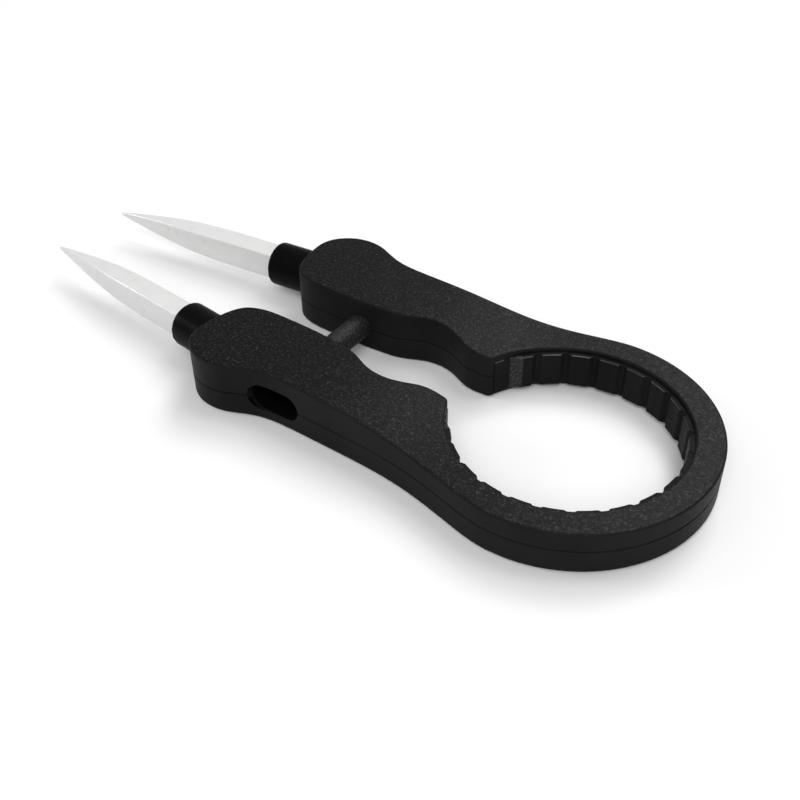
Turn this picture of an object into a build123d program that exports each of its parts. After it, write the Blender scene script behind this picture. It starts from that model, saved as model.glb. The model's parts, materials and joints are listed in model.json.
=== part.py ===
from build123d import *
import math
import os

os.makedirs("parts", exist_ok=True)

# Ceramic-tip tweezers with a ring-shaped back that grips round caps.
# Frame: X runs from the tips (-X) to the back of the ring (+X), Y across the arms,
# Z up from the resting face. The ring is centred on X = Y = 0 while modelling, and
# every piece is shifted at the end so the origin is the bottom centre of the whole.

# ---- driving dimensions (mm) -------------------------------------------------
R_OUT = 20.0          # outer radius of the ring
R_LIP = 16.1          # inner radius of the shells' lips above and below the liner
R_GROOVE = 17.3       # radius of the groove that holds the grip liner
R_LINER = 17.27       # outer radius of the grip liner
R_LAND = 15.3         # grip lands of the liner
R_VALLEY = 15.85      # bottom of the notches between the lands
R_SMOOTH = 15.95      # plain ends of the liner beside the cusps
A_LINER = 157.6       # half-angle where the liner ends
A_GROOVE = 158.2      # half-angle where its groove ends
PITCH = 15.0          # angle from notch to notch
N_NOTCH = 9           # notches on each side of the one at the back
NOTCH_HALF = 2.1      # half-width of a notch in degrees
A_FLEX = 4 * PITCH    # half-angle of the planes where the ring flexes
Z_SPLIT = 3.75        # parting plane between the two shells
Z_LINER_LO, Z_LINER_HI = 0.72, 6.06
LINER_GAP = 0.02
H_HEAD = 8.38         # thickness at the heads
H_RING = 6.66         # thickness of the ring
EDGE_TOP = 0.3        # edge radius on top
EDGE_BOTTOM = 0.7     # edge radius underneath
Z_AXIS = 4.6          # height of the collar and tip axes
A_TIP = 6.0           # inward slope of the collars and tips
X_RIM, Y_RIM = -58.5, 10.3   # centre of the collar's front rim
R_COLLAR = 3.45
R_NECK = 3.05
L_COLLAR_FRONT = 7.8  # front barrel, rim to neck
L_NECK = 2.0
L_FLANGE = 2.0
TIP_W, TIP_H = 3.6, 4.5   # width and height of the ceramic rod
TIP_R = 0.35          # its edge radius
TIP_CLEAR = 0.02
TIP_SHANK = 10.5      # length of the rod inside the collar
TIP_OUT = 33.0        # exposed length
X_PIN, Z_PIN = -37.6, 3.95
R_PIN = 1.85
Y_PIN_FAR, Y_PIN_NEAR = 12.5, -8.2
SLOT_L, SLOT_H = 8.2, 4.1
X_SLOT = -36.3
SCREWS = [(-43.3, 12.6), (-26.0, 12.0)]   # case screws in each arm
R_SCREW, R_HEAD = 1.0, 1.8
Z_HEAD_LO, Z_HEAD_HI, Z_SCREW_TOP = 0.35, 1.6, 6.5
R_LUG, A_LUG, RAD_LUG = 0.6, 26.0, 18.65  # moulded locating lugs in the ring back

R = R_OUT
OUTLINE = [(x * R, y * R) for x, y in [
    (0, 1.0), (-.2, .974), (-.4, .927), (-.6, .883), (-.8, .851), (-1.0, .835), (-1.3, .827), (-1.6, .824),
    (-1.8, .827), (-1.95, .846), (-2.08, .892), (-2.2, .941), (-2.32, .957), (-2.44, .934), (-2.54, .872),
    (-2.61, .78), (-2.63, .68), (-2.62, .57), (-2.605, .48), (-2.585, .41), (-2.555, .345), (-2.51, .295),
    (-2.44, .26), (-2.35, .239), (-2.25, .232), (-2.05, .232), (-1.85, .238), (-1.7, .249), (-1.58, .266),
    (-1.5, .292), (-1.42, .328), (-1.34, .354), (-1.26, .361), (-1.18, .352), (-1.1, .324), (-1.03, .292),
    (-.97, .268), (-.9, .257), (-.83, .259)]]
A_CUSP = 160.3
CUSP = (R_LIP * math.cos(math.radians(A_CUSP)), R_LIP * math.sin(math.radians(A_CUSP)))
OUTLINE.append(CUSP)

TOP_PROFILE = [(-46, H_HEAD), (-34, 8.3), (-25, 8.0), (-17.5, 7.3), (-11, 6.76), (-5, H_RING)]


def pol(r, a):
    return (r * math.cos(math.radians(a)), r * math.sin(math.radians(a)))


def far_arm_face():
    arc1 = ThreePointArc(pol(R_OUT, A_FLEX), pol(R_OUT, (A_FLEX + 90) / 2), (0, R_OUT))
    side = Spline(*OUTLINE, tangents=[(-1, 0), (0.93, 0.36)])
    arc2 = ThreePointArc(CUSP, pol(R_LIP, (A_CUSP + A_FLEX) / 2), pol(R_LIP, A_FLEX))
    close = Line(pol(R_LIP, A_FLEX), pol(R_OUT, A_FLEX))
    return make_face([arc1, side, arc2, close])


def sector_face(r0, r1, a0, a1):
    am = (a0 + a1) / 2
    return make_face([ThreePointArc(pol(r0, a0), pol(r0, am), pol(r0, a1)), Line(pol(r0, a1), pol(r1, a1)),
                      ThreePointArc(pol(r1, a1), pol(r1, am), pol(r1, a0)), Line(pol(r1, a0), pol(r0, a0))])


def slab(face, z0, z1):
    return Pos(0, 0, z0) * extrude(face, z1 - z0)


def above_top():
    # everything over the crowned top surface
    s = Spline(*TOP_PROFILE, tangents=[(1, 0), (1, 0)])
    pts = [Line((-60, H_HEAD), TOP_PROFILE[0]), s, Line(TOP_PROFILE[-1], (30, H_RING)), Line((30, H_RING), (30, 14)), Line((30, 14), (-60, 14)),
           Line((-60, 14), (-60, H_HEAD))]
    return Plane.XZ * extrude(make_face(pts), 40, both=True)


def cut_all(body, *tools):
    for t in tools:
        body = body - t
    return body


def outer_edges(body, z_test, kind):
    # long outline edges of the outer skin, found by height
    out = []
    for e in body.edges():
        c = e.center()
        if e.length < 3.0:
            continue
        if z_test(e):
            out.append(e)
    return out


# axis frame of the far collar: local Z runs from the rim back into the head
ca, sa = math.cos(math.radians(A_TIP)), math.sin(math.radians(A_TIP))
TIP_PLANE = Plane(origin=(X_RIM, Y_RIM, Z_AXIS), x_dir=(sa, -ca, 0), z_dir=(ca, sa, 0))
# local X points inward (to the other arm), local Z back into the head


def axial(r, z0, z1):
    return TIP_PLANE * (Pos(0, 0, (z0 + z1) / 2) * Cylinder(r, z1 - z0))


L1 = L_COLLAR_FRONT
L2 = L1 + L_NECK
L3 = L2 + L_FLANGE


def collar_solid(grow=0.0, bore=True):
    c = axial(R_COLLAR + grow, 0, L1) + axial(R_NECK + grow, L1 - grow, L2 + grow) + axial(R_COLLAR + grow, L2, L3 + grow)
    if bore:
        rim = [e for e in c.edges() if abs((e @ 0.5 - Vector(X_RIM, Y_RIM, Z_AXIS)).dot(Vector(ca, sa, 0))) < 1e-3]
        c = fillet(rim, 0.55)
        c = c - TIP_PLANE * (Pos(0, 0, L3 / 2) * Box(TIP_W + 2 * TIP_CLEAR, TIP_H + 2 * TIP_CLEAR, L3 + 2))
    return c


def tip_solid():
    # rectangular rod ground on all four sides to a blunt point: (distance from the rim, width, height)
    prof = [(9, TIP_W, TIP_H), (12, 3.57, 4.32), (15, 3.46, 4.12), (17, 3.3, 3.95), (20, 2.85, 3.58), (23, 2.25, 3.12),
            (26, 1.64, 2.52), (28.5, 1.16, 1.9), (30.5, .8, 1.34), (32, .5, .82), (32.7, .34, .54), (TIP_OUT, .2, .3)]
    secs = []
    for d, w, h in prof:
        secs.append(TIP_PLANE * (Pos(0, 0, -d) * RectangleRounded(w, h, min(TIP_R, 0.3 * w))))
    body = loft(secs, ruled=True)
    mid = (TIP_SHANK - 9) / 2
    rod = TIP_PLANE * (Pos(0, 0, mid) * extrude(RectangleRounded(TIP_W, TIP_H, TIP_R), (TIP_SHANK + 9) / 2, both=True))
    return body + rod


def slot_tool():
    f = SlotOverall(SLOT_L, SLOT_H)
    return Pos(X_SLOT, -11, Z_PIN) * (Rot(90, 0, 0) * extrude(f, 9, both=True))


def screw(x, y):
    s = Pos(x, y, (Z_HEAD_HI + Z_SCREW_TOP) / 2) * Cylinder(R_SCREW, Z_SCREW_TOP - Z_HEAD_HI)
    h = Pos(x, y, (Z_HEAD_LO + Z_HEAD_HI) / 2) * Cylinder(R_HEAD, Z_HEAD_HI - Z_HEAD_LO)
    h = fillet(h.edges().group_by(Axis.Z)[0], 0.3)
    s = s + h
    for a in (45, 135):
        s = s - Pos(x, y, Z_HEAD_LO + 0.25) * (Rot(0, 0, a) * Box(2.0, 0.42, 0.7))
    return s


# ---- shells ------------------------------------------------------------------
top_tool = above_top()
arm_face = far_arm_face()
ring_face = sector_face(R_LIP, R_OUT, -A_FLEX, A_FLEX)
arm_block = slab(arm_face, 0, 10) - top_tool
ring_block = slab(ring_face, 0, H_RING)


def round_outline(block):
    # soften the outline edges before the shells are parted
    tops, bots = [], []
    for e in block.edges():
        if e.length < 4.0:
            continue
        mid, a, b = e @ 0.5, e @ 0.0, e @ 1.0
        if abs(mid.Z) < 1e-4 and abs(a.Z) < 1e-4 and abs(b.Z) < 1e-4:
            bots.append(e)
        elif min(mid.Z, a.Z, b.Z) > H_RING - 0.05:
            tops.append(e)
    # the radial closing lines at the flex planes stay sharp
    def keep(e):
        a, b = e @ 0.0, e @ 1.0
        ang = lambda v: abs(math.degrees(math.atan2(v.Y, v.X)))
        return not (abs(ang(a) - A_FLEX) < 0.01 and abs(ang(b) - A_FLEX) < 0.01 and e.length < 5)
    tops = [e for e in tops if keep(e)]
    bots = [e for e in bots if keep(e)]
    block = fillet(bots, EDGE_BOTTOM)
    tops2 = []
    for t in tops:
        c = t @ 0.5
        for e in block.edges():
            if abs(e.length - t.length) < 1e-3 and (e @ 0.5 - c).length < 1e-3:
                tops2.append(e)
    return fillet(tops2, EDGE_TOP)


arm_block = round_outline(arm_block)
ring_block = round_outline(ring_block)

groove = slab(sector_face(8, R_GROOVE, A_FLEX - 3, A_GROOVE), Z_LINER_LO - LINER_GAP, Z_LINER_HI + LINER_GAP)
groove_ring = slab(sector_face(8, R_GROOVE, -A_FLEX - 3, A_FLEX + 3), Z_LINER_LO - LINER_GAP, Z_LINER_HI + LINER_GAP)
below = Pos(-20, 0, Z_SPLIT - 20) * Box(200, 100, 40)
above = Pos(-20, 0, Z_SPLIT + 20) * Box(200, 100, 40)

arm_block = arm_block - groove
ring_block = ring_block - groove_ring
arm_block = arm_block - collar_solid(0.01, bore=False)
far_block = arm_block - Pos(X_PIN, (Y_PIN_FAR + 0) / 2, Z_PIN) * (Rot(90, 0, 0) * Cylinder(R_PIN + 0.01, Y_PIN_FAR + 0.02))
# weight-saving core in each palm, closed when the shells are joined
core = Pos(-20.5, 12.2, 0) * extrude(RectangleRounded(5.6, 5.0, 1.2), 1)
core_lo = Pos(-20.5, 12.2, 1.5) * extrude(RectangleRounded(5.6, 5.0, 1.2), Z_SPLIT - 1.5)
core_hi = Pos(-20.5, 12.2, Z_SPLIT) * extrude(RectangleRounded(5.6, 5.0, 1.2), 2.0)

far_upper = far_block - below
far_lower = far_block - above
near_base = mirror(arm_block, about=Plane.XZ)
near_base = near_base - slot_tool()
near_upper = near_base - below
near_lower = near_base - above
ring_upper = ring_block - below
ring_lower = ring_block - above

far_upper = far_upper - core_hi
far_lower = far_lower - core_lo
near_upper = near_upper - mirror(core_hi, about=Plane.XZ)
near_lower = near_lower - mirror(core_lo, about=Plane.XZ)

for sx, sy in SCREWS:
    for s in (1, -1):
        hole = Pos(sx, s * sy, 2.2) * Cylinder(R_SCREW + 0.08, 6)
        sink = Pos(sx, s * sy, (Z_HEAD_HI - 3) / 2) * Cylinder(R_HEAD + 0.12, Z_HEAD_HI + 3)
        pilot = Pos(sx, s * sy, (Z_SPLIT + Z_SCREW_TOP + 0.3) / 2) * Cylinder(R_SCREW + 0.01, Z_SCREW_TOP + 0.3 - Z_SPLIT)
        if s == 1:
            far_lower = far_lower - hole - sink
            far_upper = far_upper - pilot
        else:
            near_lower = near_lower - hole - sink
            near_upper = near_upper - pilot

for s in (1, -1):
    lx, ly = pol(RAD_LUG, s * A_LUG)
    ring_lower = ring_lower + Pos(lx, ly, Z_SPLIT + 0.4) * Cylinder(R_LUG, 1.6)
    ring_upper = ring_upper - Pos(lx, ly, Z_SPLIT + 0.7) * Cylinder(R_LUG + 0.03, 1.4 + 0.6)


# ---- grip liner --------------------------------------------------------------
def liner_profile():
    # (angle, radius) along the inner face from the back to the plain end
    pts = []
    for k in range(0, N_NOTCH + 1):
        a = k * PITCH
        pts += [(a - NOTCH_HALF, R_LAND), (a - 0.45 * NOTCH_HALF, R_VALLEY - 0.08), (a, R_VALLEY),
                (a + 0.45 * NOTCH_HALF, R_VALLEY - 0.08), (a + NOTCH_HALF, R_LAND)]
    pts += [(143.6, R_LAND), (149.3, R_SMOOTH)]
    return pts


def liner_face(a0, a1):
    prof = [p for p in liner_profile()]
    full = sorted([(-a, r) for a, r in prof] + prof)
    sel = [p for p in full if a0 + 0.02 < p[0] < a1 - 0.02]
    def r_at(a):
        for (b0, r0), (b1, r1) in zip(full, full[1:]):
            if b0 <= a <= b1 and b1 > b0:
                return r0 + (r1 - r0) * (a - b0) / (b1 - b0)
        return R_SMOOTH
    chain = [(a0, r_at(a0))] + sel + [(a1, r_at(a1))]
    clean = [chain[0]]
    for c in chain[1:]:
        if c[0] - clean[-1][0] > 0.05:
            clean.append(c)
    edges = []
    for (b0, r0), (b1, r1) in zip(clean, clean[1:]):
        if abs(r0 - r1) < 1e-6 and b1 - b0 > 1.0:
            edges.append(ThreePointArc(pol(r0, b0), pol(r0, (b0 + b1) / 2), pol(r1, b1)))
        else:
            edges.append(Line(pol(r0, b0), pol(r1, b1)))
    edges.append(Line(pol(clean[-1][1], a1), pol(R_LINER, a1)))
    edges.append(ThreePointArc(pol(R_LINER, a1), pol(R_LINER, (a0 + a1) / 2), pol(R_LINER, a0)))
    edges.append(Line(pol(R_LINER, a0), pol(clean[0][1], a0)))
    return make_face(edges)


liner_ring = slab(liner_face(-A_FLEX, A_FLEX), Z_LINER_LO, Z_LINER_HI)
liner_far = slab(liner_face(A_FLEX, A_LINER), Z_LINER_LO, Z_LINER_HI)
liner_near = mirror(liner_far, about=Plane.XZ)

# ---- collars, tips, pin, screws -----------------------------------------------
collar_far = collar_solid()
collar_near = mirror(collar_far, about=Plane.XZ)
tip_far = tip_solid()
tip_near = mirror(tip_far, about=Plane.XZ)
pin_len = Y_PIN_FAR - Y_PIN_NEAR
pin = Pos(X_PIN, (Y_PIN_FAR + Y_PIN_NEAR) / 2, Z_PIN) * (Rot(90, 0, 0) * Cylinder(R_PIN, pin_len))
pin = chamfer([e for e in pin.edges() if e.geom_type == GeomType.CIRCLE], 0.3)
screws_far = Compound(children=[screw(x, y) for x, y in SCREWS])
screws_near = Compound(children=[screw(x, -y) for x, y in SCREWS])

nodes = {
    "upper_shell_ring": ring_upper, "lower_shell_ring": ring_lower, "grip_liner_ring": liner_ring,
    "upper_shell_far": far_upper, "lower_shell_far": far_lower, "grip_liner_far": liner_far,
    "tip_collar_far": collar_far, "ceramic_tip_far": tip_far, "guide_pin": pin, "case_screws_far": screws_far,
    "upper_shell_near": near_upper, "lower_shell_near": near_lower, "grip_liner_near": liner_near,
    "tip_collar_near": collar_near, "ceramic_tip_near": tip_near, "case_screws_near": screws_near,
}

x_lo = min(v.X for v in tip_far.vertices())
x_hi = R_OUT
DX = -(x_lo + x_hi) / 2
print("shift of the ring centre", round(DX, 4), "length", round(x_hi - x_lo, 3))
px, py = pol(R_LAND, A_FLEX)
print("flex axis of the far arm", round(px + DX, 4), round(py, 4))

for name, shape in nodes.items():
    moved = Pos(DX, 0, 0) * shape
    export_step(moved, "parts/" + name + ".step")
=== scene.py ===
import bpy
import bmesh
import json
import math
import numpy as np
from mathutils import Matrix, Vector

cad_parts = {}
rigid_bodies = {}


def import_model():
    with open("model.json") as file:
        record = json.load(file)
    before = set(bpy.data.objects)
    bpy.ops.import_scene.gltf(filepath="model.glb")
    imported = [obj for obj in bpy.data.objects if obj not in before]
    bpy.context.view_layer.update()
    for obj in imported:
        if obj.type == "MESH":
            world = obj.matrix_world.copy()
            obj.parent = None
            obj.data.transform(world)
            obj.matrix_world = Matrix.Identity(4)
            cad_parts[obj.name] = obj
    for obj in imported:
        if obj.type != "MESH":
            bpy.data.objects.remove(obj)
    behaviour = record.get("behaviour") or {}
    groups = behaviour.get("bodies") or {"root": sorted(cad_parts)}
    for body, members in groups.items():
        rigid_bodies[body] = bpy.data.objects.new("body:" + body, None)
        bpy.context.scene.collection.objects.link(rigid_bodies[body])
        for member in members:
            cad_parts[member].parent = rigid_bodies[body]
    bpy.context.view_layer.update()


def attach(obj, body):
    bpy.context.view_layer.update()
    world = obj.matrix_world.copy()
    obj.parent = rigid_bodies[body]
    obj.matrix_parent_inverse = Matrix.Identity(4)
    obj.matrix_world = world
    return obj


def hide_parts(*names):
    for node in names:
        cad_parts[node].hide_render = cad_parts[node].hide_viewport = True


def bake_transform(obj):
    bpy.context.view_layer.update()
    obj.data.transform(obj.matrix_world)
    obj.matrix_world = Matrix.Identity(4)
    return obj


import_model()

# ------------------------------------------------------------------ dimensions
# millimetres, about the ring's centre, as in the solids; DX shifts them into the row frame
MM = 0.001
DX = 35.6648
R_OUT, R_LIP, R_GROOVE, R_LINER = 20.0, 16.1, 17.3, 17.27
R_LAND, R_VALLEY, R_SMOOTH = 15.3, 15.85, 15.95
A_LINER, A_GROOVE, A_CUSP = 158.16, 158.2, 160.3
PITCH, N_NOTCH = 15.0, 9
Z_SPLIT = 3.75
Z_LO, Z_HI = 0.72, 6.06
H_HEAD, H_RING = 8.38, 6.66
Z_AXIS, A_TIP = 4.6, 6.0
X_RIM, Y_RIM = -58.5, 10.3
TIP_W, TIP_H, TIP_R = 3.6, 4.5, 0.32
X_PIN, Z_PIN, R_PIN = -37.6, 3.95, 1.85
X_SLOT, SLOT_L, SLOT_H = -36.3, 8.2, 4.1
SCREWS = [(-43.3, 12.6), (-26.0, 12.0)]
R = R_OUT
OUTLINE = [(x * R, y * R) for x, y in [
    (0, 1.0), (-.2, .974), (-.4, .927), (-.6, .883), (-.8, .851), (-1.0, .835), (-1.3, .827), (-1.6, .824),
    (-1.8, .827), (-1.95, .846), (-2.08, .892), (-2.2, .941), (-2.32, .957), (-2.44, .934), (-2.54, .872),
    (-2.61, .78), (-2.63, .68), (-2.62, .57), (-2.605, .48), (-2.585, .41), (-2.555, .345), (-2.51, .295),
    (-2.44, .26), (-2.35, .239), (-2.25, .232), (-2.05, .232), (-1.85, .238), (-1.7, .249), (-1.58, .266),
    (-1.5, .292), (-1.42, .328), (-1.34, .354), (-1.26, .361), (-1.18, .352), (-1.1, .324), (-1.03, .292),
    (-.97, .268), (-.9, .257), (-.83, .259)]]
CUSP = (R_LIP * math.cos(math.radians(A_CUSP)), R_LIP * math.sin(math.radians(A_CUSP)))
OUTLINE.append(CUSP)
TOP_PROFILE = [(-46, H_HEAD), (-34, 8.3), (-25, 8.0), (-17.5, 7.3), (-11, 6.76), (-5, H_RING)]
SEAM_W, SEAM_D = 0.12, 0.26      # half width and depth of the parting groove
E_TOP, E_BOT = 0.28, 0.7
FAR, NEAR = 1, -1


# ------------------------------------------------------------------ curves
def cubic(t, y, d0, d1):
    """Clamped cubic spline through (t, y); returns a function."""
    t, y = np.asarray(t, float), np.asarray(y, float)
    n = len(t)
    h = np.diff(t)
    A = np.zeros((n, n))
    b = np.zeros((n,) + y.shape[1:])
    A[0, 0], b[0] = 1, d0
    A[-1, -1], b[-1] = 1, d1
    for i in range(1, n - 1):
        A[i, i - 1], A[i, i], A[i, i + 1] = 1 / h[i - 1], 2 / h[i - 1] + 2 / h[i], 1 / h[i]
        b[i] = 3 * ((y[i] - y[i - 1]) / h[i - 1] ** 2 + (y[i + 1] - y[i]) / h[i] ** 2)
    m = np.linalg.solve(A, b)

    def f(x):
        x = np.clip(np.atleast_1d(np.asarray(x, float)), t[0], t[-1])
        i = np.clip(np.searchsorted(t, x) - 1, 0, n - 2)
        u = ((x - t[i]) / h[i])
        if y.ndim > 1:
            u, hh = u[:, None], h[i][:, None]
        else:
            hh = h[i]
        return ((2 * u ** 3 - 3 * u ** 2 + 1) * y[i] + (u ** 3 - 2 * u ** 2 + u) * hh * m[i]
                + (-2 * u ** 3 + 3 * u ** 2) * y[i + 1] + (u ** 3 - u ** 2) * hh * m[i + 1])
    return f


_tp = np.array(TOP_PROFILE, float)
_top = cubic(_tp[:, 0], _tp[:, 1], 0.0, 0.0)


def z_top(x):
    return _top(x)


def outline_curve():
    p = np.array(OUTLINE, float)
    t = np.r_[0, np.cumsum(np.linalg.norm(np.diff(p, axis=0), axis=1))]
    f = cubic(t, p, np.array([-1.0, 0.0]), np.array([0.93, 0.36]) / np.hypot(0.93, 0.36))
    ts = np.linspace(0, t[-1], 6000)
    q = f(ts)
    s = np.r_[0, np.cumsum(np.linalg.norm(np.diff(q, axis=0), axis=1))]
    return q, s


Q, S = outline_curve()
S_FRONT = S[np.argmin(np.abs(Q[:, 1] - 11.4) + 100 * (Q[:, 0] > -50))]


def on_outline(s):
    s = np.atleast_1d(s)
    return np.c_[np.interp(s, S, Q[:, 0]), np.interp(s, S, Q[:, 1])]


ARC90 = R_OUT * math.pi / 2
LIP_LEN = R_LIP * math.radians(A_CUSP)


def outer_point(u):
    """u is the length along the outer side from the middle of the ring's back."""
    if u < ARC90:
        a = u / R_OUT
        return np.array([R_OUT * math.cos(a), R_OUT * math.sin(a)])
    return on_outline(u - ARC90)[0]


def inner_raw(v):
    if v < LIP_LEN:
        a = v / R_LIP
        return np.array([R_LIP * math.cos(a), R_LIP * math.sin(a)])
    return on_outline(S[-1] - (v - LIP_LEN))[0]


R_SOFT = 0.95
SOFT = 0.43        # length each side of the cusp that the rounding takes


def inner_point(v):
    """v is the length along the inner side from the middle of the ring's back; the cusp's corner is rounded."""
    if abs(v - LIP_LEN) >= SOFT:
        return inner_raw(v)
    a, c, b = inner_raw(LIP_LEN - SOFT), inner_raw(LIP_LEN), inner_raw(LIP_LEN + SOFT)
    t = (v - LIP_LEN + SOFT) / (2 * SOFT)
    return a * (1 - t) ** 2 + c * 2 * t * (1 - t) + b * t ** 2


U_END = ARC90 + S_FRONT
V_END = LIP_LEN + S[-1] - S_FRONT


def u_at_x(x, lo=ARC90):
    """outer length where the far outer side crosses x, before the head's crown."""
    i = np.argmax(Q[:, 0] < x)
    return ARC90 + S[i]


def v_at_x(x):
    j = len(Q) - 1 - np.argmax(Q[::-1, 0] < x)
    return LIP_LEN + S[-1] - S[j]


def stations():
    """pairs of lengths (u on the outer side, v on the inner side) that cross-sections join."""
    r = math.radians
    marks = [(0, 0), (R_OUT * r(60), R_LIP * r(60)), (ARC90, R_LIP * r(90)), (u_at_x(-6.5), R_LIP * r(118)),
             (u_at_x(-12.2), R_LIP * r(143)), (u_at_x(-15.3), R_LIP * r(A_GROOVE - 0.03)),
             (u_at_x(-15.4), R_LIP * r(A_GROOVE + 0.03)), (u_at_x(-16.4), LIP_LEN + SOFT), (u_at_x(-18.2), v_at_x(-18.0)),
             (u_at_x(-22.0), v_at_x(-21.9)), (u_at_x(-26.0), v_at_x(-26)), (u_at_x(-31), v_at_x(-31)),
             (u_at_x(-37), v_at_x(-37)), (u_at_x(-42), v_at_x(-42)), (u_at_x(-46.2), v_at_x(-46.4)),
             (u_at_x(-49.4), v_at_x(-49.8)), (u_at_x(-51.4), v_at_x(-51.3)), (U_END, V_END)]
    out = []
    for k, ((u0, v0), (u1, v1)) in enumerate(zip(marks, marks[1:])):
        size = 0.42 if k < 12 else 0.26
        if k == 6:
            size = 0.08
        n = max(1, int(math.ceil(max(u1 - u0, v1 - v0) / size)))
        for i in range(n):
            t = i / n
            out.append((u0 + (u1 - u0) * t, v0 + (v1 - v0) * t))
    out.append((U_END, V_END))
    return out


STN = stations()
P_O = np.array([outer_point(u) for u, v in STN])
P_I = np.array([inner_point(v) for u, v in STN])
PHI_I = np.array([v / R_LIP for u, v in STN])


def normals(points, fn, lens, flip):
    e = 0.02
    n = []
    for k, l in enumerate(lens):
        a, b = fn(max(l - e, 0)), fn(l + e)
        d = (b - a) / np.linalg.norm(b - a)
        n.append([-d[1], d[0]])
    return np.array(n) * flip


def clamp_fn(f, hi):
    return lambda l: f(min(l, hi))


N_O = normals(P_O, clamp_fn(outer_point, U_END), [min(u, U_END - 0.021) for u, v in STN], -1)
N_I = normals(P_I, clamp_fn(inner_point, V_END), [min(v, V_END - 0.021) for u, v in STN], 1)
# one shared normal where the two sides meet at the front of the head
nf = N_O[-1] + N_I[-1]
N_O[-1] = N_I[-1] = nf / np.linalg.norm(nf)
N_O[0] = [1, 0]
N_I[0] = [-1, 0]


def mesh_object(name, verts, faces, side=FAR, smooth=32):
    v = np.array(verts, float)
    if side == NEAR:
        v = v * np.array([1, -1, 1])
        faces = [tuple(reversed(f)) for f in faces]
    v = (v + np.array([DX, 0, 0])) * MM
    me = bpy.data.meshes.new(name)
    me.from_pydata([tuple(p) for p in v], [], faces)
    ob = bpy.data.objects.new(name, me)
    bpy.context.scene.collection.objects.link(ob)
    bm = bmesh.new()
    bm.from_mesh(me)
    bmesh.ops.remove_doubles(bm, verts=bm.verts, dist=2e-6)
    bmesh.ops.dissolve_degenerate(bm, edges=bm.edges, dist=1e-6)
    bmesh.ops.recalc_face_normals(bm, faces=bm.faces)
    bm.to_mesh(me)
    bm.free()
    finish_shading(ob, smooth)
    return ob


def finish_shading(ob, smooth=32):
    me = ob.data
    me.polygons.foreach_set("use_smooth", [True] * len(me.polygons))
    me.set_sharp_from_angle(angle=math.radians(smooth))
    me.update()


def loft_loops(loops, closed_ring=False, cap0=True, cap1=True):
    """Skin between loops of equal count. Each loop is closed."""
    n = len(loops[0])
    verts = [p for l in loops for p in l]
    faces = []
    m = len(loops)
    for i in range(m if closed_ring else m - 1):
        a, b = i * n, ((i + 1) % m) * n
        for j in range(n):
            k = (j + 1) % n
            faces.append((a + j, a + k, b + k, b + j))
    if not closed_ring:
        if cap0:
            faces.append(tuple(range(n - 1, -1, -1)))
        if cap1:
            faces.append(tuple((m - 1) * n + j for j in range(n)))
    return verts, faces


def arc_steps(r, n, a0, a1):
    return [(math.radians(a0 + (a1 - a0) * i / n)) for i in range(n + 1)]


# ------------------------------------------------------------------ shells
TOP_T = [0.012] + [j / 12 for j in range(1, 12)] + [0.988]


def upper_section(k):
    """closed cross-section of the upper shell at station k, as a list of 3-D points (far side)."""
    O, I, NO, NI = P_O[k], P_I[k], N_O[k], N_I[k]
    zo, zi = float(z_top(O[0])[0]), float(z_top(I[0])[0])
    last = k == len(STN) - 1
    inset = lambda P, N, d: P - N * d
    pts = []

    def add(P, N, d, z):
        q = inset(P, N, d)
        pts.append((q[0], q[1], z))
    zs = Z_SPLIT
    # outer side, upward from the parting groove
    add(O, NO, SEAM_D + 0.25, zs)
    add(O, NO, SEAM_D, zs)
    add(O, NO, SEAM_D, zs + 0.02)
    add(O, NO, 0.05, zs + SEAM_W - 0.02)
    add(O, NO, 0.0, zs + SEAM_W + 0.02)
    for t in (0.03, 0.4, 0.75, 0.97):
        add(O, NO, 0.0, zs + SEAM_W + 0.02 + (zo - E_TOP - zs - SEAM_W - 0.02) * t)
    for a in arc_steps(E_TOP, 4, 0, 90):
        add(O, NO, E_TOP * (1 - math.cos(a)), zo - E_TOP * (1 - math.sin(a)))
    # top surface
    A, B = inset(O, NO, E_TOP), inset(I, NI, E_TOP)
    for t in TOP_T:
        q = A * (1 - t) + B * t
        pts.append((q[0], q[1], float(z_top(q[0])[0])))
    # inner side, down again
    for a in arc_steps(E_TOP, 4, 90, 0):
        add(I, NI, E_TOP * (1 - math.cos(a)), zi - E_TOP * (1 - math.sin(a)))
    groove = PHI_I[k] < math.radians(A_GROOVE)
    zl = Z_HI + 0.02
    if groove:
        d = R_GROOVE - R_LIP
        add(I, NI, 0.0, zl + 0.07)
        add(I, NI, 0.03, zl + 0.02)
        add(I, NI, 0.08, zl)
        add(I, NI, d, zl)
        add(I, NI, d, zs + 0.02)
        add(I, NI, d, zs)
        add(I, NI, d + 0.1, zs)
    else:
        h = zi - E_TOP
        add(I, NI, 0.0, h - 0.06)
        add(I, NI, 0.0, zs + (h - zs) * 0.45)
        add(I, NI, 0.0, zs + SEAM_W + 0.02)
        add(I, NI, 0.05, zs + SEAM_W - 0.02)
        add(I, NI, SEAM_D, zs + 0.02)
        add(I, NI, SEAM_D, zs)
        add(I, NI, SEAM_D + 0.25, zs)
    return pts


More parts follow.
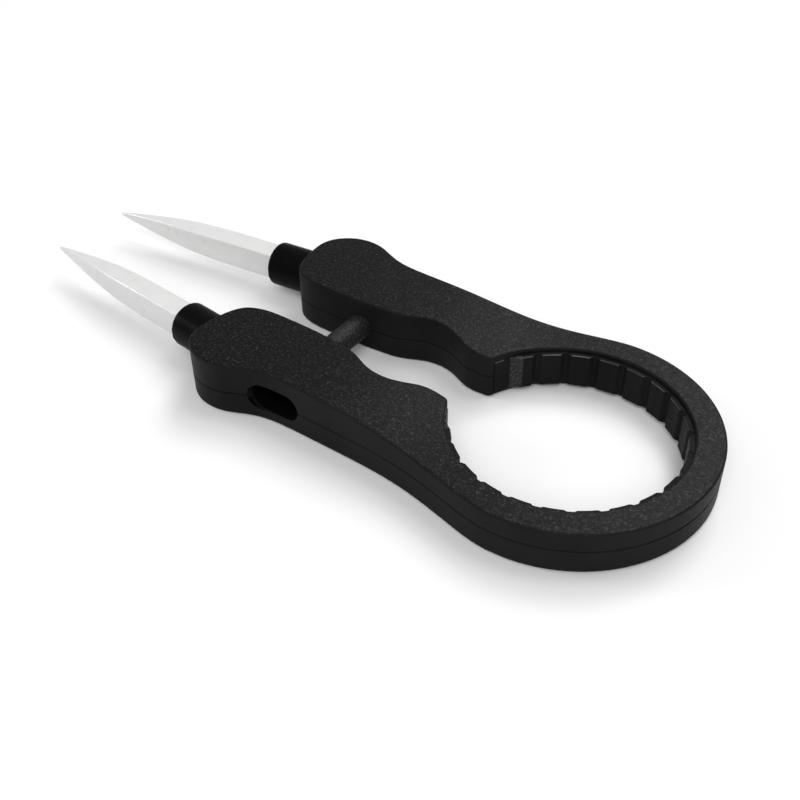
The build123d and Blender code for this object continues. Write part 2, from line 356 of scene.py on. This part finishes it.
def lower_section(k):
    O, I, NO, NI = P_O[k], P_I[k], N_O[k], N_I[k]
    pts = []

    def add(P, N, d, z):
        q = P - N * d
        pts.append((q[0], q[1], z))
    zs = Z_SPLIT
    add(O, NO, SEAM_D + 0.25, zs)
    add(O, NO, SEAM_D, zs)
    add(O, NO, SEAM_D, zs - 0.02)
    add(O, NO, 0.05, zs - SEAM_W + 0.02)
    add(O, NO, 0.0, zs - SEAM_W - 0.02)
    add(O, NO, 0.0, zs - SEAM_W - 0.09)
    add(O, NO, 0.0, zs - (zs - E_BOT) * 0.5)
    add(O, NO, 0.0, E_BOT + 0.08)
    for a in arc_steps(E_BOT, 6, 0, 90):
        add(O, NO, E_BOT * (1 - math.cos(a)), E_BOT * (1 - math.sin(a)))
    A, B = O - NO * E_BOT, I - NI * E_BOT
    for t in TOP_T:
        q = A * (1 - t) + B * t
        pts.append((q[0], q[1], 0.0))
    groove = PHI_I[k] < math.radians(A_GROOVE)
    zl = Z_LO - 0.02
    e = 0.55 if groove else E_BOT
    for a in arc_steps(e, 6, 90, 0):
        d = e * (1 - math.cos(a)) if not groove else e * (1 - math.cos(a)) + (E_BOT - e) * math.sin(a)
        add(I, NI, d, e * (1 - math.sin(a)))
    if groove:
        d = R_GROOVE - R_LIP
        add(I, NI, 0.0, zl - 0.06)
        add(I, NI, 0.02, zl - 0.02)
        add(I, NI, 0.06, zl)
        add(I, NI, d, zl)
        add(I, NI, d, zs - 0.02)
        add(I, NI, d, zs)
        add(I, NI, d + 0.1, zs)
    else:
        add(I, NI, 0.0, E_BOT + (zs - E_BOT) * 0.3)
        add(I, NI, 0.0, E_BOT + (zs - E_BOT) * 0.6)
        add(I, NI, 0.0, zs - SEAM_W - 0.05)
        add(I, NI, 0.05, zs - SEAM_W + 0.02)
        add(I, NI, SEAM_D, zs - 0.02)
        add(I, NI, SEAM_D, zs)
        add(I, NI, SEAM_D + 0.25, zs)
    return pts


def shell_mesh(name, section, side):
    loops = [section(k) for k in range(len(STN))]
    v, f = loft_loops(loops, cap0=True, cap1=False)
    return mesh_object(name, v, f, side)


# ------------------------------------------------------------------ cutters
def cylinder_mesh(name, p0, p1, r, n=64, profile=None):
    """round bar from p0 to p1 (mm); profile is a list of (t_mm from p0, radius)."""
    p0, p1 = np.array(p0, float), np.array(p1, float)
    ax = p1 - p0
    L = np.linalg.norm(ax)
    ax = ax / L
    h = np.array([0, 0, 1.0]) if abs(ax[2]) < 0.9 else np.array([1.0, 0, 0])
    u = np.cross(ax, h)
    u /= np.linalg.norm(u)
    w = np.cross(ax, u)
    prof = profile or [(0, r), (L, r)]
    loops = []
    for t, rr in prof:
        loops.append([tuple(p0 + ax * t + rr * (math.cos(2 * math.pi * i / n) * u + math.sin(2 * math.pi * i / n) * w))
                      for i in range(n)])
    v, f = loft_loops(loops)
    return mesh_object(name, v, f)


def obround(name, x, z, length, height, y_sections, n=20):
    """obround bar along Y; y_sections is a list of (y, grow)."""
    loops = []
    for y, g in y_sections:
        r = height / 2 + g
        c = (length - height) / 2
        loop = []
        for i in range(n + 1):
            a = -math.pi / 2 + math.pi * i / n
            loop.append((x + c + r * math.cos(a), y, z + r * math.sin(a)))
        for i in range(n + 1):
            a = math.pi / 2 + math.pi * i / n
            loop.append((x - c + r * math.cos(a), y, z + r * math.sin(a)))
        loops.append(loop)
    v, f = loft_loops(loops)
    return mesh_object(name, v, f)


def cut(target, *cutters):
    for c in cutters:
        m = target.modifiers.new("cut", "BOOLEAN")
        m.operation = "DIFFERENCE"
        m.solver = "EXACT"
        m.object = c
        dg = bpy.context.evaluated_depsgraph_get()
        dg.update()
        me = bpy.data.meshes.new_from_object(target.evaluated_get(dg))
        target.modifiers.clear()
        old = target.data
        target.data = me
        me.name = old.name
        bpy.data.meshes.remove(old)
    bm = bmesh.new()
    bm.from_mesh(target.data)
    bmesh.ops.remove_doubles(bm, verts=bm.verts, dist=1e-6)
    bmesh.ops.dissolve_degenerate(bm, edges=bm.edges, dist=1e-7)
    bm.to_mesh(target.data)
    bm.free()
    finish_shading(target)


def drop(*obs):
    for o in obs:
        me = o.data
        bpy.data.objects.remove(o, do_unlink=True)
        bpy.data.meshes.remove(me)


# ------------------------------------------------------------------ tip frame
CA, SA = math.cos(math.radians(A_TIP)), math.sin(math.radians(A_TIP))
AX = np.array([CA, SA, 0.0])       # from the rim back into the head
IN = np.array([SA, -CA, 0.0])      # towards the other arm
UP = np.array([0, 0, 1.0])
RIM = np.array([X_RIM, Y_RIM, Z_AXIS])


def tip_point(a, b, d):
    """a inward, b up, d out from the rim along the tip."""
    return tuple(RIM + IN * a + UP * b - AX * d)


def rounded_square(w, h, r, cx=0.0, cz=0.0, n=7, mid=5):
    """points of a rounded rectangle, w along the inward axis and h up, anticlockwise, equal counts."""
    pts = []
    hw, hh = w / 2, h / 2
    corners = [(hw - r, hh - r, 0), (-hw + r, hh - r, 90), (-hw + r, -hh + r, 180), (hw - r, -hh + r, 270)]
    for c, (x, z, a0) in enumerate(corners):
        for i in range(n + 1):
            a = math.radians(a0 + 90 * i / n)
            pts.append((cx + x + r * math.cos(a), cz + z + r * math.sin(a)))
        x1, z1, a1 = corners[(c + 1) % 4]
        a = math.radians(a0 + 90)
        p = (cx + x + r * math.cos(a), cz + z + r * math.sin(a))
        q = (cx + x1 + r * math.cos(a), cz + z1 + r * math.sin(a))
        for j in range(1, mid):
            t = j / mid
            pts.append((p[0] * (1 - t) + q[0] * t, p[1] * (1 - t) + q[1] * t))
    return pts


T_PROF = [(0, 3.6, 4.5), (8, 3.6, 4.46), (12, 3.57, 4.32), (15, 3.46, 4.12), (17, 3.3, 3.95), (20, 2.85, 3.58), (23, 2.25, 3.12),
          (26, 1.64, 2.52), (28.5, 1.16, 1.9), (30.5, .8, 1.34), (32, .5, .82), (32.7, .34, .54), (33.0, .2, .3)]


def tip_mesh(name, side):
    p = np.array(T_PROF)
    f = cubic(p[:, 0], p[:, 1:], np.zeros(2), np.array([-0.5, -0.9]))
    loops = []
    ds = list(np.linspace(-10.4, 0, 5)) + list(np.linspace(0.5, 32.0, 84)) + [32.2, 32.4, 32.6, 32.75, 32.87, 32.95, 33.0]
    for d in ds:
        w, h = (TIP_W, TIP_H) if d <= 0 else np.minimum(f(d)[0], (TIP_W, TIP_H))
        r = min(TIP_R, 0.32 * min(w, h)) if d < 30 else (0.32 + 0.12 * (d - 30) / 3) * min(w, h)
        loops.append([tip_point(a, b, d) for a, b in rounded_square(w, h, r)])
    v, fc = loft_loops(loops)
    return mesh_object(name, v, fc, side, smooth=60)


def collar_mesh(name, side):
    rc, rn, e = 3.45, 3.05, 0.5

    def circ(r, d):
        # circle sampled at the directions of the square's points so the two bridge cleanly
        out = []
        for a, b in rounded_square(TIP_W, TIP_H, TIP_R):
            l = math.hypot(a, b)
            out.append(tip_point(a / l * r, b / l * r, d))
        return out

    def sq(grow, d):
        return [tip_point(a, b, d) for a, b in rounded_square(TIP_W + grow, TIP_H + grow, TIP_R)]
    loops = [sq(0.05, -11.6), sq(0.05, -0.5), sq(0.05, -0.1), sq(0.08, -0.03), sq(0.14, 0.0), circ(rc - e - 0.02, 0.0)]
    for a in arc_steps(e, 6, 90, 0):
        loops.append(circ(rc - e * (1 - math.cos(a)), -e * (1 - math.sin(a))))
    for d in (-1.5, -2.5, -3.5, -4.5, -5.5, -6.5, -7.7):
        loops.append(circ(rc, d))
    loops += [circ(rn, -7.8), circ(rn, -9.8), circ(rc, -9.82), circ(rc, -11.8), circ(rn + 0.1, -11.8)]
    v, f = loft_loops(loops, closed_ring=True)
    return mesh_object(name, v, f, side)


# ------------------------------------------------------------------ liner
def liner_radius(a):
    """inner radius of the grip at angle a (degrees from the middle of the back)."""
    a = abs(a)
    if a <= N_NOTCH * PITCH + PITCH / 2:
        k = round(a / PITCH)
        t = abs(a - k * PITCH) / 3.2
        if t >= 1:
            return R_LAND
        q = 1 - t * t * (3 - 2 * t)
        return R_LAND + (R_VALLEY - R_LAND) * q
    if a <= 143.0:
        return R_LAND
    if a <= 149.3:
        return R_LAND + (R_SMOOTH - R_LAND) * (a - 143.0) / 6.3
    return R_SMOOTH


def liner_mesh(name, side):
    angs = []
    a = 0.0
    for k in range(0, N_NOTCH + 1):
        c = k * PITCH
        ring = [-1, -.985, -.95, -.88, -.76, -.6, -.4, -.2, 0, .2, .4, .6, .76, .88, .95, .985, 1]
        for t in ring:
            if c + 3.2 * t >= -1e-9:
                angs.append(max(0.0, c + 3.2 * t))
        if k < N_NOTCH:
            for i in range(1, 8):
                angs.append(c + 3.2 + (PITCH - 6.4) * i / 8)
    angs += list(np.linspace(N_NOTCH * PITCH + 3.4, 143.0, 8)) + list(np.linspace(144, 149.3, 6)) + list(np.linspace(150.2, A_LINER, 10))
    e = 0.24
    loops = []
    for a in sorted(set(round(x, 5) for x in angs)):
        r = liner_radius(a)
        c, s = math.cos(math.radians(a)), math.sin(math.radians(a))
        prof = []
        for q in arc_steps(e, 4, 90, 0):
            prof.append((r + e * (1 - math.cos(q)), Z_HI - e * (1 - math.sin(q))))
        zm = 3.4
        prof += [(r, Z_HI - e - 0.05), (r, 4.6), (r, zm + 0.09), (r, zm + 0.05), (r + 0.02, zm + 0.015), (r + 0.02, zm - 0.015),
                 (r, zm - 0.05), (r, zm - 0.09), (r, 2.2), (r, Z_LO + e + 0.05)]
        for q in arc_steps(e, 4, 0, 90):
            prof.append((r + e * (1 - math.cos(q)), Z_LO + e * (1 - math.sin(q))))
        prof += [(16.5, Z_LO), (R_LINER, Z_LO), (R_LINER, 3.4), (R_LINER, Z_HI), (16.5, Z_HI)]
        loops.append([(rr * c, rr * s, z) for rr, z in prof])
    v, f = loft_loops(loops)
    return mesh_object(name, v, f, side, smooth=38)


# ------------------------------------------------------------------ materials
def material(name):
    m = bpy.data.materials.new(name)
    m.use_nodes = True
    nt = m.node_tree
    for n in list(nt.nodes):
        nt.nodes.remove(n)
    out = nt.nodes.new("ShaderNodeOutputMaterial")
    bs = nt.nodes.new("ShaderNodeBsdfPrincipled")
    nt.links.new(bs.outputs["BSDF"], out.inputs["Surface"])
    tc = nt.nodes.new("ShaderNodeTexCoord")
    return m, nt, bs, tc


def ramp(nt, src, stops, interp="LINEAR"):
    r = nt.nodes.new("ShaderNodeValToRGB")
    r.color_ramp.interpolation = interp
    els = r.color_ramp.elements
    while len(els) > 1:
        els.remove(els[-1])
    els[0].position, els[0].color = stops[0][0], stops[0][1]
    for p, c in stops[1:]:
        el = els.new(p)
        el.color = c
    nt.links.new(src, r.inputs["Fac"])
    return r


def noise(nt, tc, scale, detail=2.0, rough=0.5, kind="Object"):
    n = nt.nodes.new("ShaderNodeTexNoise")
    n.inputs["Scale"].default_value = scale
    n.inputs["Detail"].default_value = detail
    n.inputs["Roughness"].default_value = rough
    nt.links.new(tc.outputs[kind], n.inputs["Vector"])
    return n


def g(v, a=1.0):
    return (v, v, v, a)


def shell_top_material():
    """spark-textured moulded top: fine pits and bright flecks on near black"""
    m, nt, bs, tc = material("shell_spark_texture")
    fine = noise(nt, tc, 5200.0, 3.0, 0.7)
    mid = noise(nt, tc, 2500.0, 2.0, 0.5)
    mix = nt.nodes.new("ShaderNodeMath")
    mix.operation = "MULTIPLY_ADD"
    mix.inputs[1].default_value = 0.62
    nt.links.new(fine.outputs["Fac"], mix.inputs[0])
    half = nt.nodes.new("ShaderNodeMath")
    half.operation = "MULTIPLY"
    half.inputs[1].default_value = 0.38
    nt.links.new(mid.outputs["Fac"], half.inputs[0])
    nt.links.new(half.outputs[0], mix.inputs[2])
    col = ramp(nt, mix.outputs[0], [(0.40, g(0.0003)), (0.49, g(0.0012)), (0.56, g(0.008)), (0.65, g(0.042))])
    nt.links.new(col.outputs["Color"], bs.inputs["Base Color"])
    rr = ramp(nt, mix.outputs[0], [(0.38, g(0.46)), (0.62, g(0.30))])
    nt.links.new(rr.outputs["Color"], bs.inputs["Roughness"])
    bump = nt.nodes.new("ShaderNodeBump")
    bump.inputs["Strength"].default_value = 0.6
    bump.inputs["Distance"].default_value = 0.0001
    nt.links.new(mix.outputs[0], bump.inputs["Height"])
    nt.links.new(bump.outputs["Normal"], bs.inputs["Normal"])
    bs.inputs["Specular IOR Level"].default_value = 0.1
    return m


def satin_material(name, base, rough, scale=1800.0, strength=0.12, spec=0.5, var=0.25):
    m, nt, bs, tc = material(name)
    n = noise(nt, tc, scale, 3.0, 0.55)
    cloud = noise(nt, tc, 90.0, 2.0, 0.5)
    col = ramp(nt, cloud.outputs["Fac"], [(0.3, g(base * (1 - var))), (0.7, g(base * (1 + var)))])
    nt.links.new(col.outputs["Color"], bs.inputs["Base Color"])
    rr = ramp(nt, n.outputs["Fac"], [(0.3, g(rough - 0.05)), (0.7, g(rough + 0.06))])
    nt.links.new(rr.outputs["Color"], bs.inputs["Roughness"])
    bump = nt.nodes.new("ShaderNodeBump")
    bump.inputs["Strength"].default_value = strength
    bump.inputs["Distance"].default_value = 0.00006
    nt.links.new(n.outputs["Fac"], bump.inputs["Height"])
    nt.links.new(bump.outputs["Normal"], bs.inputs["Normal"])
    bs.inputs["Specular IOR Level"].default_value = spec
    return m


def grainy_material(name, k=1.0):
    """coarse sparkle where the mould was left rough"""
    m, nt, bs, tc = material(name)
    n = noise(nt, tc, 3600.0, 2.0, 0.6)
    col = ramp(nt, n.outputs["Fac"], [(0.36, g(0.005 * k)), (0.52, g(0.015 * k)), (0.68, g(0.06 * k))])
    nt.links.new(col.outputs["Color"], bs.inputs["Base Color"])
    bs.inputs["Roughness"].default_value = 0.6
    bump = nt.nodes.new("ShaderNodeBump")
    bump.inputs["Strength"].default_value = 0.7
    bump.inputs["Distance"].default_value = 0.0001
    nt.links.new(n.outputs["Fac"], bump.inputs["Height"])
    nt.links.new(bump.outputs["Normal"], bs.inputs["Normal"])
    bs.inputs["Specular IOR Level"].default_value = 0.25
    return m


def ceramic_material(name="white_zirconia", lo=0.615, hi=0.65, rlo=0.26, rhi=0.36):
    m, nt, bs, tc = material(name)
    n = noise(nt, tc, 420.0, 4.0, 0.55)
    col = ramp(nt, n.outputs["Fac"], [(0.3, (lo, lo, lo * 0.993, 1)), (0.7, (hi, hi, hi * 0.993, 1))])
    nt.links.new(col.outputs["Color"], bs.inputs["Base Color"])
    rr = ramp(nt, n.outputs["Fac"], [(0.3, g(rlo)), (0.7, g(rhi))])
    nt.links.new(rr.outputs["Color"], bs.inputs["Roughness"])
    bs.inputs["IOR"].default_value = 1.6
    return m


def steel_material():
    m, nt, bs, tc = material("dark_screw_steel")
    n = noise(nt, tc, 2500.0, 3.0, 0.6)
    col = ramp(nt, n.outputs["Fac"], [(0.3, g(0.20)), (0.7, g(0.34))])
    nt.links.new(col.outputs["Color"], bs.inputs["Base Color"])
    rr = ramp(nt, n.outputs["Fac"], [(0.3, g(0.28)), (0.7, g(0.42))])
    nt.links.new(rr.outputs["Color"], bs.inputs["Roughness"])
    bs.inputs["Metallic"].default_value = 1.0
    return m


MAT_TOP = shell_top_material()
MAT_SIDE = satin_material("shell_satin_side", 0.0105, 0.46, 2200.0, 0.10, spec=0.042)
MAT_LINER = satin_material("grip_liner_satin", 0.0085, 0.45, 2600.0, 0.12, spec=0.045)
# land top edges: lighter base colour, partly edge wear and partly a painted highlight
MAT_EDGE = satin_material("grip_liner_wear_and_painted_highlight_edge", 0.0200, 0.30, 2600.0, 0.12, spec=0.5)
MAT_FLANK = grainy_material("grip_liner_rough_flank")
MAT_COLLAR = satin_material("collar_satin", 0.0020, 0.36, 2400.0, 0.06, spec=0.042)
MAT_PIN = grainy_material("guide_pin_moulded", 0.6)
# slot inner walls: darker than the shell sides, painted shade in the recess
MAT_SLOT = satin_material("slot_wall_painted_shade", 0.0015, 0.7, 2200.0, 0.05, spec=0.03)
MAT_TIP = ceramic_material()
# tip edges: smoother finish plus a paler colour that is a painted highlight
MAT_TIP_EDGE = ceramic_material("white_zirconia_fine_edge_painted_highlight", 0.70, 0.74, 0.12, 0.18)
MAT_STEEL = steel_material()


def paint_shell(ob):
    ob.data.materials.clear()
    ob.data.materials.append(MAT_SIDE)
    ob.data.materials.append(MAT_TOP)
    ob.data.materials.append(MAT_SLOT)
    hx, hz = SLOT_L / 2 + 0.02, SLOT_H / 2 + 0.02
    for p in ob.data.polygons:
        x, y = p.center.x / MM - DX, p.center.y / MM
        # the slot's inner walls take the darker slot material, which is painted shade
        if y < 0 and abs(x - X_SLOT) < hx and abs(p.center.z / MM - Z_PIN) < hz and abs(p.normal.y) < 0.3:
            p.material_index = 2
            continue
        z = p.center.z / MM
        p.material_index = 1 if (p.normal.z > 0.86 and z > H_RING - 0.06) or (p.normal.z < -0.86 and z < 0.12) else 0


# ------------------------------------------------------------------ assembly
SIDE = {FAR: "far", NEAR: "near"}
screw_cutters = {}
for side in (FAR, NEAR):
    tag = SIDE[side]
    arm = "arm_" + tag
    up = shell_mesh("upper_shell_skin_" + tag, upper_section, side)
    lo = shell_mesh("lower_shell_skin_" + tag, lower_section, side)
    # socket for the tip collar
    p0 = RIM * np.array([1, side, 1])
    ax = AX * np.array([1, side, 1])
    sock = cylinder_mesh("cut_socket", p0 + ax * 3.0, p0 + ax * 12.0, 3.52)
    tools_up, tools_lo = [sock], [sock]
    if side == NEAR:
        slot = obround("cut_slot", X_SLOT, Z_PIN, SLOT_L, SLOT_H,
                       [(-25.0, 0.1), (-16.6, 0.1), (-16.4, 0.0), (-4.8, 0.0), (-4.6, 0.1), (-1.0, 0.1)])
        tools_up.append(slot)
        tools_lo.append(slot)
    for i, (sx, sy) in enumerate(SCREWS):
        sk = cylinder_mesh("cut_sink_%d" % i, (sx, side * sy, -1.0), (sx, side * sy, 1.6), 1.92,
                           profile=[(0, 2.2), (0.93, 2.2), (1.14, 1.92), (2.6, 1.92)])
        tools_lo.append(sk)
    cut(up, *tools_up)
    cut(lo, *tools_lo)
    drop(*set(tools_up + tools_lo))
    ln = liner_mesh("grip_liner_skin_" + tag, side)
    paint_shell(up)
    paint_shell(lo)
    ln.data.materials.append(MAT_LINER)
    ln.data.materials.append(MAT_FLANK)
    ln.data.materials.append(MAT_EDGE)
    for p in ln.data.polygons:
        px, py = p.center.x / MM - DX, p.center.y / MM
        ang = abs(math.degrees(math.atan2(py, px)))
        if 143.0 < ang < 149.3 and math.hypot(px, py) < 16.2:
            p.material_index = 1
        # land top edges take the lighter edge material: partly edge wear, partly a painted highlight
        elif (p.center.z / MM > Z_HI - 0.2 and 0.25 < p.normal.z < 0.97 and abs(ang - PITCH * round(ang / PITCH)) > 2.6):
            p.material_index = 2
    for ob, nodes in ((up, ("upper_shell_" + tag, "upper_shell_ring")), (lo, ("lower_shell_" + tag, "lower_shell_ring")),
                      (ln, ("grip_liner_" + tag, "grip_liner_ring"))):
        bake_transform(ob)
        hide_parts(*nodes)
    tip = tip_mesh("ceramic_tip_body_" + tag, side)
    tip.data.materials.append(MAT_TIP)
    tip.data.materials.append(MAT_TIP_EDGE)
    flip = Vector((1, side, 1))
    for p in tip.data.polygons:
        # the four long edges get lower roughness than the faces and a paler colour; the paler colour is a painted
        # highlight
        nn = Vector(p.normal) * flip
        out = -((Vector(p.center) / MM - Vector((DX, 0, 0))) * flip - Vector(RIM)).dot(Vector(AX))
        tilt = nn.dot(Vector(IN))
        if out > 0.2 and abs(tilt) > 0.35 and abs(nn.z) > 0.35:
            p.material_index = 1
    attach(tip, arm)
    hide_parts("ceramic_tip_" + tag)
    col = collar_mesh("tip_collar_body_" + tag, side)
    col.data.materials.append(MAT_COLLAR)
    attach(col, arm)
    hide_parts("tip_collar_" + tag)

y0, y1 = 12.4, -8.2
L = y0 - y1
pin = cylinder_mesh("guide_pin_body", (X_PIN, y0, Z_PIN), (X_PIN, y1, Z_PIN), R_PIN, n=72,
                    profile=[(0, R_PIN), (L * .3, R_PIN), (L * .6, R_PIN), (L - 0.32, R_PIN), (L - 0.22, R_PIN - 0.03),
                             (L - 0.12, R_PIN - 0.1), (L - 0.03, R_PIN - 0.24), (L, R_PIN - 0.36), (L, 0.6)])
pin.data.materials.append(MAT_PIN)
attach(pin, "arm_far")
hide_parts("guide_pin")

for o in bpy.data.objects:
    if o.type == "MESH" and o.name.startswith("case_screws"):
        for i in range(max(1, len(o.material_slots))):
            if len(o.material_slots) == 0:
                o.data.materials.append(MAT_STEEL)
            else:
                o.material_slots[i].material = MAT_STEEL

# ------------------------------------------------------------------ camera
cam_data = bpy.data.cameras.new("camera")
cam = bpy.data.objects.new("camera", cam_data)
bpy.context.scene.collection.objects.link(cam)
cam_data.sensor_width = 36.0
cam_data.lens = 48.59
cam_data.clip_start = 0.01
cam_data.clip_end = 10.0
right = Vector((0.810259, 0.585964, -0.011264))
down = Vector((0.364108, -0.518355, -0.773779))
fwd = Vector((-0.459245, 0.622859, -0.633356))
rot = Matrix((right, -down, -fwd)).transposed().to_4x4()
cam.matrix_world = Matrix.Translation(Vector((45.368 + DX, -98.243, 97.562)) * MM) @ rot
bpy.context.scene.camera = cam

# ------------------------------------------------------------------ floor and light
fl = bpy.data.meshes.new("floor")
fl.from_pydata([(-3, -3, -1e-5), (3, -3, -1e-5), (3, 3, -1e-5), (-3, 3, -1e-5)], [], [(0, 1, 2, 3)])
floor = bpy.data.objects.new("floor", fl)
bpy.context.scene.collection.objects.link(floor)
mf, nt, bs, tc = material("pale_floor")
bs.inputs["Base Color"].default_value = (0.82, 0.82, 0.82, 1)
bs.inputs["Roughness"].default_value = 0.9
bs.inputs["Specular IOR Level"].default_value = 0.1
fl.materials.append(mf)

w = bpy.data.worlds.new("studio")
bpy.context.scene.world = w
w.use_nodes = True
bg = w.node_tree.nodes["Background"]
bg.inputs["Color"].default_value = (1, 1, 1, 1)
bg.inputs["Strength"].default_value = 0.40


def area(name, loc, target, size, power, size_y=None):
    d = bpy.data.lights.new(name, "AREA")
    d.energy = power
    d.size = size
    if size_y:
        d.shape = "RECTANGLE"
        d.size_y = size_y
    o = bpy.data.objects.new(name, d)
    bpy.context.scene.collection.objects.link(o)
    o.location = loc
    dirn = Vector(target) - Vector(loc)
    o.rotation_euler = dirn.to_track_quat("-Z", "Y").to_euler()
    return o


area("key_top", (0.15, 0.25, 0.72), (0.0, 0, 0), 0.3, 1.4)
area("key_back", (-0.03, 0.50, 0.60), (0, 0, 0), 0.3, 2.3)
area("front", (0.30, -0.55, 0.66), (0, 0, 0), 0.6, 4.3)
area("left_low", (-0.75, -0.33, 0.36), (0, 0, 0), 0.22, 1.3)
bpy.context.scene.view_settings.view_transform = "Standard"
